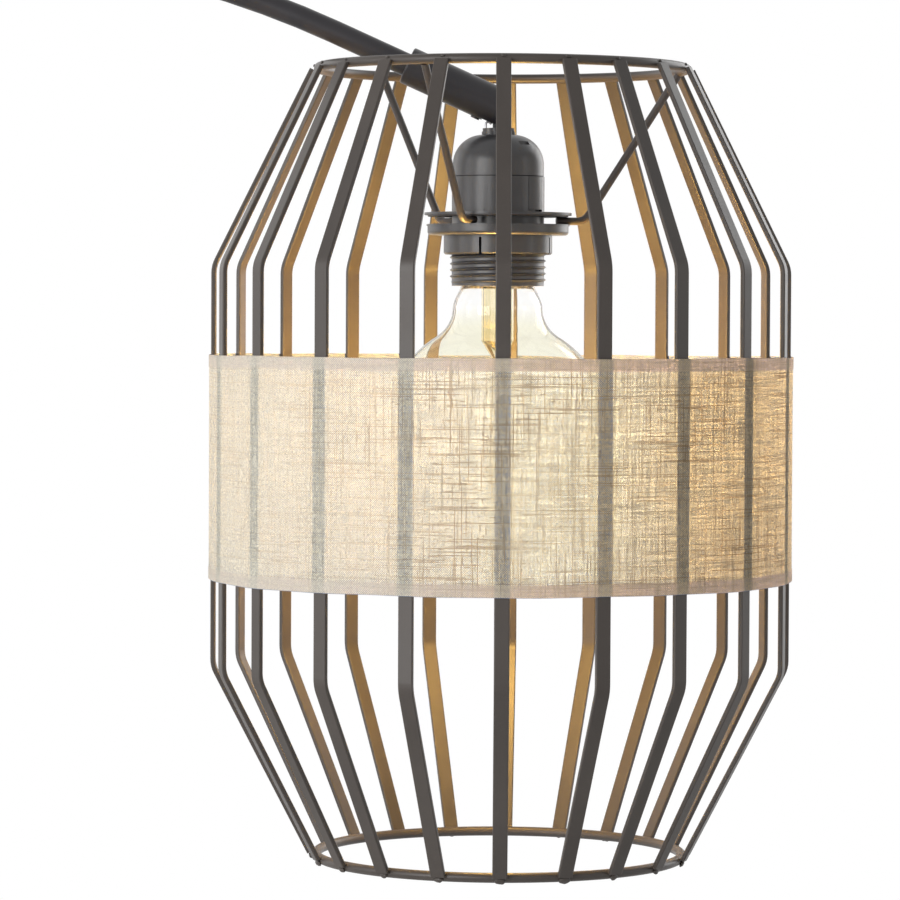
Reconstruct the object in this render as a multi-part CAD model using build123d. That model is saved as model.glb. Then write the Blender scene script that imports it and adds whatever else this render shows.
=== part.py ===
from build123d import *
import math
import os

# An arc floor lamp: a round weighted base, a pole in two lengths, a thin arm that bows over and
# down, and a wire cage shade with a band of linen, hung from the arm's end with its bulb holder.
# All sizes are in millimetres. The origin is the middle of the base on the floor, +Z is up, and
# the arm reaches out towards +X. Angles round the shade are counted from the front, which is the
# -Y side, turning towards +X. Heights inside the shade are counted from the top ring's plane.

# Clearances
slide_gap = 0.05  # radial, between a plug, shaft or spigot and its bore
turn_gap = 0.06  # radial, between the arm and the collar that it turns in
bolt_gap = 0.2  # radial, between the threaded nipple and the holes that it passes through
thread_room = 1.1  # radial, between the barrel's core and the nut's bore, where the thread lies
weld_gap = 0.03  # between a round wire and what it is welded to
cloth_gap = 0.3  # between the ribs and the cloth band

# Stand
lamp_height = 1600.0  # floor to the top of the arm
base_diameter = 290.0
cover_wall = 1.5
cover_edge_radius = 5.5
cover_lift = 2.0  # the cover's rim stays this far off the floor
pad_margin = 3.0  # the pad stops this far inside the weight's edge
pad_thickness = 3.0
weight_margin = 4.5  # between the weight and the cover's rim
weight_thickness = 14.0
recess_diameter = 34.0
recess_depth = 9.5
washer_diameter = 28.0
washer_thickness = 1.5
nut_width = 17.0  # across the flats
nut_height = 5.0
nipple_diameter = 10.0
nipple_bore = 7.0
nipple_below_nut = 1.5
nipple_in_foot = 14.0
cord_hole_diameter = 8.2
cord_hole_height = 7.5
cord_channel_width = 9.0
cord_channel_depth = 8.5
bush_flange_diameter = 11.0
bush_flange_thickness = 1.6
bush_lip_diameter = 9.4
bush_lip_thickness = 1.4
bush_bore = 6.6

# Pole
pole_diameter = 16.0
pole_wall = 1.2
foot_diameter = 24.0
foot_height = 6.0
foot_edge_radius = 2.0
plug_length = 22.0
joiner_band = 1.5  # the ring that shows between the two pole tubes
collar_diameter = 19.0
collar_height = 18.0
collar_edge_radius = 3.0
collar_floor = 3.0
collar_screw_diameter = 4.0
collar_screw_length = 4.4
collar_screw_drop = 9.0  # from the collar's top
collar_screw_socket = 2.0

# Arm
arm_diameter = 9.5
arm_wall = 1.0
arm_tail_shown = 30.0  # straight run above the collar
arc_radius = 400.0
arm_end_slope = 24.3  # degrees below level at the shade's end
arm_straight_end = 74.0  # from the arc to the shade's axis

# End sleeve, measured along the arm from the point where it crosses the shade's axis
sleeve_diameter = 15.6
sleeve_length = 44.2
sleeve_past_axis = 2.7
sleeve_on_arm = 26.0
sleeve_end_wall = 1.4
sleeve_edge_radius = 0.8
chamber_diameter = 11.2
slot_side_gap = 0.8  # between the flex and the slot's sides
slot_behind_axis = 7.0
slot_above_axis_point = 1.5
clamp_screw_back = 7.05
clamp_screw_diameter = 2.9
clamp_screw_head_diameter = 3.7
clamp_screw_head_height = 0.6
clamp_screw_reach = 0.8  # past the chamber's wall

# Flex and hanger wire, between the sleeve and the cord grip
axis_point_below_ring = 15.6  # from the top ring's plane down to the arm's crossing of the axis
flex_diameter = 4.8
flex_in_grip = 2.5
flex_straight_above_grip = 4.0
flex_bend_radius = 8.0
flex_bend_angle = 35.0
hanger_diameter = 0.9
hanger_side_gap = 2.35  # between the wire's straight leg and the flex
hanger_in_grip = 1.2
hanger_end_gap = 0.3  # between the wire's lower end and the bottom of its hole
hanger_rise = 3.6
hanger_fall = 1.75
hanger_bend_radius = 0.9

# Cord grip
grip_below_sleeve = 0.6  # from the sleeve's lowest corner down to the grip
grip_upper_diameter = 13.0
grip_lower_diameter = 13.8
grip_tier = 1.35
grip_ridges = 24
grip_ridge_depth = 0.35
grip_side_gap = 0.7  # between the flex and the grip's bore
grip_spigot_diameter = 9.6
grip_spigot_length = 6.0
hanger_hole_diameter = 1.9

# Bulb holder
cap_height = 17.3
body_height = 14.8  # from the joint under the cap down to the flange
cap_diameter = 37.6
cap_edge_chamfer = 0.35  # round its lower edge, where it meets the body
holder_diameter = 38.2  # of the body under the cap
holder_shoulder_radius = 12.3
cap_wall = 2.0
holder_wall = 4.4
joint_spigot_length = 3.0
tongue_angle = 55.0
tongue_width = 9.4
tongue_thickness = 1.3
tongue_gap = 0.25
tongue_slot_below = 0.9
tongue_sill = 0.3  # between that slot and the flange
release_slot_angle = 44.0
release_slot_width = 5.4
release_slot_height = 1.5
release_slot_radius = 15.6
release_slot_drop = 3.6
flange_diameter = 60.8
flange_thickness = 1.0
barrel_diameter = 38.0  # its core, without the thread
barrel_wall = 1.8
barrel_length = 29.1
web_thickness = 3.4
web_below_flange = 0.75
web_opening_diameter = 26.0
insulator_thickness = 3.5
terminal_offset = 8.0
terminal_head_diameter = 5.5
terminal_head_height = 2.2
terminal_diameter = 3.0
terminal_length = 3.0
socket_gap = 0.6  # radial, between the bulb's cap and the socket
socket_wall = 0.7
socket_length = 19.5
contact_length = 14.0
contact_width = 5.0
contact_thickness = 0.6

# Ring nut
ring_nut_diameter = 58.2
ring_nut_lip_diameter = 59.0
ring_nut_lip = 0.6
ring_nut_flange = 4.4  # with the lip
ring_nut_edge_radius = 1.4
ring_nut_skirt_diameter = 44.8
ring_nut_skirt_chamfer = 0.7
ring_nut_height = 12.4
ring_nut_slots = 4
ring_nut_slot_angle = -19.5
ring_nut_slot_width = 1.1
ring_nut_slot_length = 7.0

# Cage
cage_offset = 1.5  # from the bulb holder's axis out to the cage's, towards +X
ring_spacing = 324.4  # between the planes of the two rings
ring_radius = 75.6  # to the middle of the ring's wire
ring_wire = 4.0
upper_kink = -81.6
lower_kink = -246.8
rib_radius = 118.6  # to the middle of the bar, in the straight stretch
rib_width = 6.0
rib_thickness = 2.0
rib_edge_radius = 0.5
rib_bend_radius = 12.0
rib_end_setback = 1.6  # the bar stops this far short of where it would lie flat on the ring
rib_angles = (  # as welded, up to 4.5 degrees off their even places
    -0.3,
    19.0,
    35.7,
    54.2,
    74.2,
    91.0,
    109.2,
    125.5,
    143.2,
    159.9,
    177.2,
    194.5,
    212.5,
    230.6,
    247.6,
    270.0,
    288.0,
    304.9,
    323.1,
    341.5,
)

# Spider
hub_diameter = 58.0
hub_thickness = 0.6
spider_wire = 3.2
spider_inner_radius = 24.6
spider_bend_at = 36.6
spider_bend_radius = 6.0
spider_angles = (101.0, 220.8, 336.0)  # as welded, about a third of a turn apart

# Fabric band
band_top = -117.9
band_height = 92.3
band_cloth = 0.9
hem_height = 5.0
hem_extra = 0.5

# Bulb
globe_radius = 47.5
neck_length = 14.6  # from the cap down to where the globe's top would be
glass_wall = 0.8
neck_waist_radius = 18.5
neck_straight = 0.7
neck_blend_radius = 14.0
neck_shoulder_radius = 17.7
neck_shoulder_drop = 6.6  # below the cap
neck_foot_radius = 15.2
neck_foot_drop = 1.3  # below the cap
neck_in_cap = 8.0
cap_skirt_radius = 13.1
cap_skirt_wall = 0.5
cap_length = 23.3
cap_shoulder = 2.5
bulb_tip_radius = 4.5
bulb_tip_height = 1.4
bulb_insulator_radius = 10.6
bulb_insulator_height = 3.4
stem_tube_radius = 6.7
stem_wall = 0.9
stem_shoulder_rise = 38.5  # above the globe's middle
stem_rod_rise = 31.5  # above the globe's middle
stem_rod_radius = 2.3
stem_rod_drop = 11.5  # below the globe's middle
filament_count = 6
filament_diameter = 1.6
filament_upper_radius = 7.0
filament_lower_radius = 13.0
filament_rise = 27.5  # above the globe's middle
filament_drop = 7.5  # below the globe's middle
support_diameter = 0.7

# Places worked out from the sizes above
weight_radius = base_diameter / 2 - cover_wall - weight_margin
cover_top = pad_thickness + weight_thickness + cover_wall
recess_top = pad_thickness + recess_depth
foot_top = cover_top + foot_height
arc_start = lamp_height - arm_diameter / 2 - arc_radius
pole_top = arc_start - arm_tail_shown - collar_height
pole_middle = (foot_top + pole_top) / 2
pole_bore = pole_diameter - 2 * pole_wall
plug_diameter = pole_bore - 2 * slide_gap
slope = math.radians(arm_end_slope)
shade_x = arc_radius * (1 + math.sin(slope)) + arm_straight_end * math.cos(slope)
axis_point = arc_start + arc_radius * math.cos(slope) - arm_straight_end * math.sin(slope)
ring_plane = axis_point + axis_point_below_ring
slot_width = flex_diameter + 2 * slot_side_gap
sleeve_drop = sleeve_past_axis * math.sin(slope) + sleeve_diameter / 2 * math.cos(slope)
grip_top = -axis_point_below_ring - sleeve_drop - grip_below_sleeve
grip_bore = flex_diameter + 2 * grip_side_gap
hanger_offset = flex_diameter / 2 + hanger_side_gap + hanger_diameter / 2
cap_top = grip_top - 2 * grip_tier
holder_joint = cap_top - cap_height
flange_top = holder_joint - body_height
tongue_length = body_height - tongue_slot_below - tongue_sill
flange_bottom = flange_top - flange_thickness
barrel_end = flange_bottom - barrel_length
hub_bottom = flange_bottom - hub_thickness
spider_level = hub_bottom - spider_wire / 2
ring_nut_top = spider_level - spider_wire / 2
web_bottom = flange_bottom - web_below_flange
insulator_bottom = web_bottom - insulator_thickness
contact_bottom = insulator_bottom - contact_thickness
holder_radius = holder_diameter / 2
cap_inner_radius = cap_diameter / 2 - cap_wall
body_bore_radius = holder_radius - holder_wall
barrel_bore_radius = barrel_diameter / 2 - barrel_wall
socket_radius = cap_skirt_radius + socket_gap + socket_wall
bulb_tip_top = contact_bottom - weld_gap
bulb_cap_top = bulb_tip_top - bulb_tip_height - bulb_insulator_height
cap_skirt_end = bulb_tip_top - cap_length
globe_centre = cap_skirt_end - neck_length - globe_radius
glass_in_cap_radius = cap_skirt_radius - cap_skirt_wall - 3 * slide_gap


def disc(radius, low, high):
    """Upright cylinder between two heights."""
    return Pos(0, 0, low) * Cylinder(radius, high - low, align=(Align.CENTER, Align.CENTER, Align.MIN))


def pipe(radius, bore_radius, low, high):
    """Upright tube between two heights."""
    return disc(radius, low, high) - disc(bore_radius, low, high)


def turned(points):
    """Solid turned about Z from a closed outline of (radius, height) points."""
    return revolve(Plane.XZ * make_face(Polyline(*points, close=True)), Axis.Z)


def facing(angle):
    """Turn that brings something built out along +X to an angle counted from the front."""
    return Rot(0, 0, angle - 90)


def top_edges(solid):
    """The edges at the highest level."""
    return solid.edges().group_by(Axis.Z)[-1]


def bottom_edges(solid):
    """The edges at the lowest level."""
    return solid.edges().group_by(Axis.Z)[0]


def in_shade(solid):
    """Move something built about the shade's own axis and ring plane to its place."""
    return Pos(shade_x, 0, ring_plane) * solid


def in_cage(solid):
    """Move something built about the cage's own axis and the ring plane to its place."""
    return in_shade(Pos(cage_offset, 0, 0) * solid)


def base_pad():
    return disc(weight_radius - pad_margin, 0, pad_thickness)


def base_weight():
    body = disc(weight_radius, pad_thickness, pad_thickness + weight_thickness)
    body = chamfer(top_edges(body), cover_edge_radius - cover_wall)
    recess = disc(recess_diameter / 2, pad_thickness, recess_top)
    hole = disc(nipple_diameter / 2 + bolt_gap, recess_top, cover_top)
    channel = Pos(-weight_radius / 2, 0, pad_thickness + cord_channel_depth / 2) * Box(
        weight_radius, cord_channel_width, cord_channel_depth
    )
    return body - recess - hole - channel


def base_cover():
    radius = base_diameter / 2
    outer = disc(radius, cover_lift, cover_top)
    outer = fillet(top_edges(outer), cover_edge_radius)
    inner = disc(radius - cover_wall, cover_lift, cover_top - cover_wall)
    inner = fillet(top_edges(inner), cover_edge_radius - cover_wall)
    hole = disc(nipple_diameter / 2 + bolt_gap, cover_lift, cover_top)
    cord_hole = Pos(-radius, 0, cord_hole_height) * Rot(0, 90, 0) * Cylinder(
        cord_hole_diameter / 2, 4 * cover_wall
    )
    return outer - inner - hole - cord_hole


def base_washer():
    return pipe(
        washer_diameter / 2, nipple_diameter / 2 + bolt_gap, recess_top - washer_thickness, recess_top
    )


def base_nut():
    top = recess_top - washer_thickness
    hexagon = RegularPolygon(nut_width / 2, 6, major_radius=False)
    body = Pos(0, 0, top - nut_height) * extrude(hexagon, nut_height)
    return body - disc(nipple_diameter / 2 + slide_gap, top - nut_height, top)


def pole_nipple():
    low = recess_top - washer_thickness - nut_height - nipple_below_nut
    return pipe(nipple_diameter / 2, nipple_bore / 2, low, cover_top + nipple_in_foot)


def cord_bush():
    """Grommet in the cover's rim: a flange outside, a lip inside and a neck between them."""
    neck = cord_hole_diameter / 2 - 2 * slide_gap
    outside = base_diameter / 2 + slide_gap
    inside = base_diameter / 2 - cover_wall - 3 * slide_gap
    bore = bush_bore / 2
    outline = [
        (bore, inside - bush_lip_thickness),
        (bush_lip_diameter / 2, inside - bush_lip_thickness),
        (bush_lip_diameter / 2, inside),
        (neck, inside),
        (neck, outside),
        (bush_flange_diameter / 2, outside),
        (bush_flange_diameter / 2 - bush_flange_thickness / 2, outside + bush_flange_thickness),
        (bore, outside + bush_flange_thickness),
    ]
    return Pos(0, 0, cord_hole_height) * Rot(0, -90, 0) * turned(outline)


def pole_foot():
    shoulder = disc(foot_diameter / 2, cover_top, foot_top)
    shoulder = fillet(top_edges(shoulder), foot_edge_radius)
    plug = disc(plug_diameter / 2, foot_top, foot_top + plug_length)
    thread = disc(nipple_diameter / 2 + slide_gap, cover_top, cover_top + nipple_in_foot)
    wire_way = disc(nipple_bore / 2, cover_top, foot_top + plug_length)
    return shoulder + plug - thread - wire_way


def pole_tube(low, high):
    return pipe(pole_diameter / 2, pole_bore / 2, low, high)


def pole_joiner():
    plug = disc(plug_diameter / 2, pole_middle - plug_length, pole_middle + plug_length)
    band = disc(pole_diameter / 2, pole_middle - joiner_band / 2, pole_middle + joiner_band / 2)
    wire_way = disc(nipple_bore / 2, pole_middle - plug_length, pole_middle + plug_length)
    return plug + band - wire_way


def arm_collar():
    """Reducer on top of the pole: the arm's tail stands in its blind bore and turns there."""
    shoulder = disc(collar_diameter / 2, pole_top, pole_top + collar_height)
    shoulder = fillet(top_edges(shoulder), collar_edge_radius)
    plug = disc(plug_diameter / 2, pole_top - plug_length, pole_top)
    floor = pole_top - plug_length + collar_floor
    bore = disc(arm_diameter / 2 + turn_gap, floor, pole_top + collar_height)
    wire_way = disc(arm_diameter / 2 - arm_wall, pole_top - plug_length, floor)
    screw_hole = collar_screw_place() * disc(collar_screw_diameter / 2 + slide_gap, 0, collar_diameter)
    return shoulder + plug - bore - wire_way - screw_hole


def collar_screw_place():
    """Frame at the arm's surface, with Z pointing out along the screw, away from the arc."""
    height = pole_top + collar_height - collar_screw_drop
    return Pos(-arm_diameter / 2 - 2 * turn_gap, 0, height) * Rot(0, -90, 0)


def collar_screw():
    body = disc(collar_screw_diameter / 2, 0, collar_screw_length)
    socket = Pos(0, 0, collar_screw_length / 2) * extrude(
        RegularPolygon(collar_screw_socket / 2, 6, major_radius=False), collar_screw_length
    )
    return collar_screw_place() * (body - socket)


def arc_arm():
    foot = pole_top - plug_length + collar_floor
    tail = Line((0, foot), (0, arc_start))
    bow = JernArc(tail @ 1, tail % 1, arc_radius, -(90 + arm_end_slope))
    end_run = arm_straight_end + sleeve_past_axis - sleeve_length + sleeve_on_arm
    run = Line(bow @ 1, (bow @ 1) + (bow % 1) * end_run)
    section = Circle(arm_diameter / 2) - Circle(arm_diameter / 2 - arm_wall)
    return sweep(Pos(0, 0, foot) * section, path=Plane.XZ * (tail + bow + run))


def sleeve_plane():
    """Plane across the arm where it crosses the shade's axis: Z runs down the arm, Y is its upper side."""
    return Plane(
        origin=(shade_x, 0, axis_point),
        x_dir=(0, 1, 0),
        z_dir=(math.cos(slope), 0, -math.sin(slope)),
    )


def end_sleeve():
    start = sleeve_past_axis - sleeve_length
    body = disc(sleeve_diameter / 2, start, sleeve_past_axis)
    body = fillet(top_edges(body) + bottom_edges(body), sleeve_edge_radius)
    arm_bore = disc(arm_diameter / 2 + slide_gap, start, start + sleeve_on_arm)
    chamber = disc(chamber_diameter / 2, start + sleeve_on_arm, sleeve_past_axis - sleeve_end_wall)
    screw_hole = Pos(0, 0, -clamp_screw_back) * Rot(90, 0, 0) * disc(
        clamp_screw_diameter / 2 + slide_gap, 0, sleeve_diameter
    )
    slot = Box(
        slot_behind_axis + sleeve_diameter,
        slot_width,
        sleeve_diameter,
        align=(Align.MIN, Align.CENTER, Align.MAX),
    )
    slot_place = Pos(shade_x - slot_behind_axis, 0, axis_point + slot_above_axis_point)
    return sleeve_plane() * (body - arm_bore - chamber - screw_hole) - slot_place * slot


def flex_clamp_screw():
    """Low-headed screw in the sleeve's underside, just behind the slot."""
    seat = sleeve_diameter / 2
    shank = disc(clamp_screw_diameter / 2, chamber_diameter / 2 - clamp_screw_reach, seat)
    head = disc(clamp_screw_head_diameter / 2, seat + slide_gap, seat + clamp_screw_head_height)
    neck = disc(clamp_screw_diameter / 2, seat, seat + clamp_screw_head_height)
    return sleeve_plane() * Pos(0, 0, -clamp_screw_back) * Rot(90, 0, 0) * (shank + neck + head)


def holder_flex():
    """Short flex that leaves the sleeve's slot and goes down into the cord grip."""
    low = grip_top - flex_in_grip
    rise = Line((0, low), (0, grip_top + flex_straight_above_grip))
    bend = JernArc(rise @ 1, rise % 1, flex_bend_radius, flex_bend_angle)
    section = Pos(0, 0, low) * Circle(flex_diameter / 2)
    return in_shade(sweep(section, path=Plane.XZ * (rise + bend)))


def hanger_wire():
    """Bent wire clipped against the flex, with its straight leg down in the cord grip."""
    low = grip_top - hanger_in_grip
    end_x = -flex_diameter / 2 - hanger_diameter / 2
    path = FilletPolyline(
        (-hanger_offset, low),
        (-hanger_offset, grip_top + hanger_rise),
        (end_x, grip_top + hanger_fall),
        radius=hanger_bend_radius,
    )
    section = Pos(-hanger_offset, 0, low) * Circle(hanger_diameter / 2)
    return in_shade(sweep(section, path=Plane.XZ * path))


def ridged_disc(diameter, low, high):
    """Disc with sharp upright ridges round its edge."""
    half_step = 180 / grip_ridges
    points = []
    for number in range(2 * grip_ridges):
        radius = diameter / 2 - grip_ridge_depth * (number % 2)
        angle = math.radians(number * half_step)
        points.append((radius * math.cos(angle), radius * math.sin(angle)))
    return Pos(0, 0, low) * extrude(make_face(Polyline(*points, close=True)), high - low)


def cord_grip():
    upper = ridged_disc(grip_upper_diameter, grip_top - grip_tier, grip_top)
    lower = Rot(0, 0, 90 / grip_ridges) * ridged_disc(
        grip_lower_diameter, cap_top, grip_top - grip_tier
    )
    spigot = disc(grip_spigot_diameter / 2, cap_top - grip_spigot_length, cap_top)
    bore = disc(grip_bore / 2, cap_top - grip_spigot_length, grip_top)
    wire_hole = Pos(-hanger_offset, 0, 0) * disc(
        hanger_hole_diameter / 2, grip_top - hanger_in_grip - hanger_end_gap, grip_top
    )
    return in_shade(upper + lower + spigot - bore - wire_hole)


def tongue_space(gap, inner_radius):
    """Curved block at the snap tongue's place, wider than the tongue by the gap on each side."""
    low = holder_joint - tongue_length - gap * tongue_slot_below / tongue_gap
    block = pipe(holder_radius, inner_radius, low, holder_joint)
    window = Box(
        holder_diameter,
        tongue_width + 2 * gap,
        tongue_length * 4,
        align=(Align.MIN, Align.CENTER, Align.CENTER),
    )
    return block & facing(tongue_angle) * Pos(0, 0, holder_joint) * window


def holder_cap():
    """Dome of the bulb holder, with the tongue that snaps over the body."""
    outer = disc(cap_diameter / 2, holder_joint, cap_top)
    outer = fillet(top_edges(outer), holder_shoulder_radius)
    outer = chamfer(bottom_edges(outer), cap_edge_chamfer)
    inner = disc(cap_inner_radius, holder_joint, cap_top - cap_wall)
    inner = fillet(top_edges(inner), holder_shoulder_radius - cap_wall)
    neck_hole = disc(grip_spigot_diameter / 2 + slide_gap, holder_joint, cap_top)
    release_slot = Pos(release_slot_radius, 0, cap_top - release_slot_drop) * Box(
        release_slot_height * 2, release_slot_width, release_slot_height
    )
    tongue = tongue_space(0, holder_radius - tongue_thickness)
    return in_shade(outer - inner - neck_hole - facing(release_slot_angle) * release_slot + tongue)


def holder_body():
    """Turned body: joint spigot, flange for the spider, barrel for the ring nut, inner web."""
    spigot_radius = cap_inner_radius - 3 * slide_gap
    spigot_top = holder_joint + joint_spigot_length
    web_radius = web_opening_diameter / 2
    barrel_radius = barrel_diameter / 2
    outline = [
        (web_radius, web_bottom + web_thickness),
        (body_bore_radius, web_bottom + web_thickness),
        (body_bore_radius, spigot_top),
        (spigot_radius, spigot_top),
        (spigot_radius, holder_joint),
        (holder_radius, holder_joint),
        (holder_radius, flange_top),
        (flange_diameter / 2, flange_top),
        (flange_diameter / 2, flange_bottom),
        (barrel_radius, flange_bottom),
        (barrel_radius, barrel_end),
        (barrel_bore_radius, barrel_end),
        (barrel_bore_radius, web_bottom),
        (web_radius, web_bottom),
    ]
    recess = tongue_space(tongue_gap, holder_radius - tongue_thickness - tongue_gap)
    return in_shade(turned(outline) - recess)


def socket_insulator():
    body = disc(barrel_bore_radius - 2 * slide_gap, insulator_bottom, web_bottom)
    for side in (-1, 1):
        body -= Pos(side * terminal_offset, 0, 0) * disc(
            terminal_diameter / 2 + slide_gap, web_bottom - terminal_length - slide_gap, web_bottom
        )
    return in_shade(body)


def terminal_screws():
    """Two screws that hold the wires on the insulator's upper side, as one group."""
    shank = disc(terminal_diameter / 2, web_bottom - terminal_length, web_bottom)
    head = disc(terminal_head_diameter / 2, web_bottom, web_bottom + terminal_head_height)
    screw = head + shank
    return in_shade(Pos(-terminal_offset, 0, 0) * screw + Pos(terminal_offset, 0, 0) * screw)


def socket_shell():
    low = insulator_bottom - socket_length
    return in_shade(pipe(socket_radius, socket_radius - socket_wall, low, insulator_bottom))


def centre_contact():
    """Brass strip with a turned-up end, under the insulator."""
    strip = Pos(0, 0, insulator_bottom - contact_thickness / 2) * Box(
        contact_length, contact_width, contact_thickness
    )
    return in_shade(strip)


def ring_nut():
    """Shade ring: a broad flange that presses the spider up, and a slotted skirt to turn it by."""
    bottom = ring_nut_top - ring_nut_height
    lip = disc(ring_nut_lip_diameter / 2, ring_nut_top - ring_nut_lip, ring_nut_top)
    flange = disc(ring_nut_diameter / 2, ring_nut_top - ring_nut_flange, ring_nut_top - ring_nut_lip)
    flange = fillet(bottom_edges(flange), ring_nut_edge_radius)
    skirt = disc(ring_nut_skirt_diameter / 2, bottom, ring_nut_top - ring_nut_flange)
    skirt = chamfer(bottom_edges(skirt), ring_nut_skirt_chamfer)
    bore = disc(barrel_diameter / 2 + thread_room, bottom, ring_nut_top)
    nut = lip + flange + skirt - bore
    slot = Pos(ring_nut_skirt_diameter / 2, 0, bottom) * Box(
        ring_nut_skirt_diameter / 4,
        ring_nut_slot_width,
        ring_nut_slot_length,
        align=(Align.CENTER, Align.CENTER, Align.MIN),
    )
    for number in range(ring_nut_slots):
        nut -= facing(ring_nut_slot_angle + number * 360 / ring_nut_slots) * slot
    return in_shade(nut)


def cage_ring(height):
    return in_cage(Pos(0, 0, height) * Torus(ring_radius, ring_wire / 2))


def rib_end(kink_height, ring_height):
    """Where the rib's middle line ends by a ring, so that the bar's inner corner meets the wire."""
    across = ring_radius - rib_radius
    along = ring_height - kink_height
    length = math.hypot(across, along)
    corner = ring_wire / 2 + weld_gap
    face = math.sqrt(corner**2 - rib_end_setback**2)
    offset = face + rib_thickness / 2
    turn = math.asin(offset / length)
    run = math.sqrt(length**2 - offset**2) - rib_end_setback
    direction = math.atan2(abs(along), across) - turn
    rise = math.copysign(math.sin(direction), along)
    return (rib_radius + run * math.cos(direction), kink_height + run * rise)


def rib(angle):
    """Flat bar, bent twice, from the top ring's outside to the bottom ring's."""
    top = rib_end(upper_kink, 0)
    bottom = rib_end(lower_kink, -ring_spacing)
    path = Plane.XZ * FilletPolyline(
        bottom, (rib_radius, lower_kink), (rib_radius, upper_kink), top, radius=rib_bend_radius
    )
    start = Plane(origin=path @ 0, x_dir=(0, 1, 0), z_dir=path % 0)
    section = start * RectangleRounded(rib_width, rib_thickness, rib_edge_radius)
    return in_cage(facing(angle) * sweep(section, path=path))


def spider_hub():
    bore = barrel_diameter / 2 + thread_room
    return in_shade(pipe(hub_diameter / 2, bore, hub_bottom, flange_bottom))


def spider_wire_arm(angle):
    """Wire from under the hub out to a bend and up to the top ring, whose middle is off the hub's."""
    turn = math.radians(angle)
    reach = cage_offset * math.sin(turn) + math.sqrt(ring_radius**2 - (cage_offset * math.cos(turn)) ** 2)
    rise = Vector(reach - spider_bend_at, -spider_level)
    end = Vector(reach, 0) - rise.normalized() * (ring_wire / 2 + weld_gap)
    path = Plane.XZ * FilletPolyline(
        (spider_inner_radius, spider_level),
        (spider_bend_at, spider_level),
        (end.X, end.Y),
        radius=spider_bend_radius,
    )
    section = Plane(origin=path @ 0, z_dir=path % 0) * Circle(spider_wire / 2 - weld_gap / 2)
    return in_shade(facing(angle) * sweep(section, path=path))


def fabric_band():
    """Cloth band round the ribs, thicker along its folded hems."""
    inner = rib_radius + rib_thickness / 2 + cloth_gap
    cloth = inner + band_cloth
    hem = cloth + hem_extra
    low = band_top - band_height
    outline = [
        (inner, low),
        (hem, low),
        (hem, low + hem_height),
        (cloth, low + hem_height),
        (cloth, band_top - hem_height),
        (hem, band_top - hem_height),
        (hem, band_top),
        (inner, band_top),
    ]
    return in_cage(turned(outline))


def globe_outline(inset):
    """Half outline of the globe and its neck, drawn in by the inset, as a face right of the axis."""
    radius = globe_radius - inset
    waist = neck_waist_radius - inset
    blend = neck_blend_radius + inset
    blend_rise = math.sqrt((radius + blend) ** 2 - (waist + blend) ** 2)
    touch = radius / (radius + blend)
    bottom = (0, globe_centre - radius)
    side = (radius, globe_centre)
    globe_end = (touch * (waist + blend), globe_centre + touch * blend_rise)
    neck_start = (waist, globe_centre + blend_rise)
    cap_end = cap_skirt_end - inset
    mouth = (0, cap_skirt_end + neck_in_cap)
    lines = [
        RadiusArc(bottom, side, -radius),
        RadiusArc(side, globe_end, -radius),
        RadiusArc(globe_end, neck_start, blend),
        Polyline(
            neck_start,
            (waist, neck_start[1] + neck_straight),
            (neck_shoulder_radius - inset, cap_skirt_end - neck_shoulder_drop),
            (neck_foot_radius - inset, cap_skirt_end - neck_foot_drop - inset),
            (glass_in_cap_radius - inset, cap_end),
            (glass_in_cap_radius - inset, mouth[1]),
            mouth,
            bottom,
        ),
    ]
    return make_face(lines)


def bulb_glass():
    outer = revolve(Plane.XZ * globe_outline(0), Axis.Z)
    inner = revolve(Plane.XZ * globe_outline(glass_wall), Axis.Z)
    return in_shade(outer - inner)


def bulb_cap():
    """Metal screw cap of the bulb, a thin shell open downwards."""
    inner = cap_skirt_radius - cap_skirt_wall
    outline = [
        (0, bulb_cap_top),
        (bulb_insulator_radius, bulb_cap_top),
        (cap_skirt_radius, bulb_cap_top - cap_shoulder),
        (cap_skirt_radius, cap_skirt_end),
        (inner, cap_skirt_end),
        (inner, bulb_cap_top - cap_shoulder),
        (bulb_insulator_radius - cap_skirt_wall, bulb_cap_top - cap_skirt_wall),
        (0, bulb_cap_top - cap_skirt_wall),
    ]
    return in_shade(turned(outline))


def bulb_insulator():
    high = bulb_cap_top + bulb_insulator_height
    outline = [(0, high), (bulb_tip_radius, high), (bulb_insulator_radius, bulb_cap_top), (0, bulb_cap_top)]
    return in_shade(turned(outline))


def bulb_tip():
    low = bulb_cap_top + bulb_insulator_height
    body = disc(bulb_tip_radius, low, low + bulb_tip_height)
    return in_shade(chamfer(top_edges(body), bulb_tip_height / 2))


def bulb_stem():
    """Glass foot in the bulb: a flare at the neck, a tube, and a rod that carries the filaments."""
    flare = glass_in_cap_radius - glass_wall - slide_gap
    flare_top = cap_skirt_end + neck_in_cap
    stem_shoulder = globe_centre + stem_shoulder_rise
    stem_rod_top = globe_centre + stem_rod_rise
    stem_rod_end = globe_centre - stem_rod_drop
    outline = [
        (flare, flare_top),
        (stem_tube_radius, cap_skirt_end),
        (stem_tube_radius, stem_shoulder),
        (stem_rod_radius, stem_rod_top),
        (stem_rod_radius, stem_rod_end),
        (0, stem_rod_end),
        (0, stem_rod_top + stem_rod_radius),
        (stem_tube_radius - stem_wall, stem_shoulder),
        (stem_tube_radius - stem_wall, cap_skirt_end),
        (flare - stem_wall, flare_top),
    ]
    return in_shade(turned(outline))


def rod_between(start, end, diameter):
    """Straight round bar between two points of the XZ plane."""
    path = Plane.XZ * Line(start, end)
    section = Plane(origin=path @ 0, z_dir=path % 0) * Circle(diameter / 2)
    return sweep(section, path=path)


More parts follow.
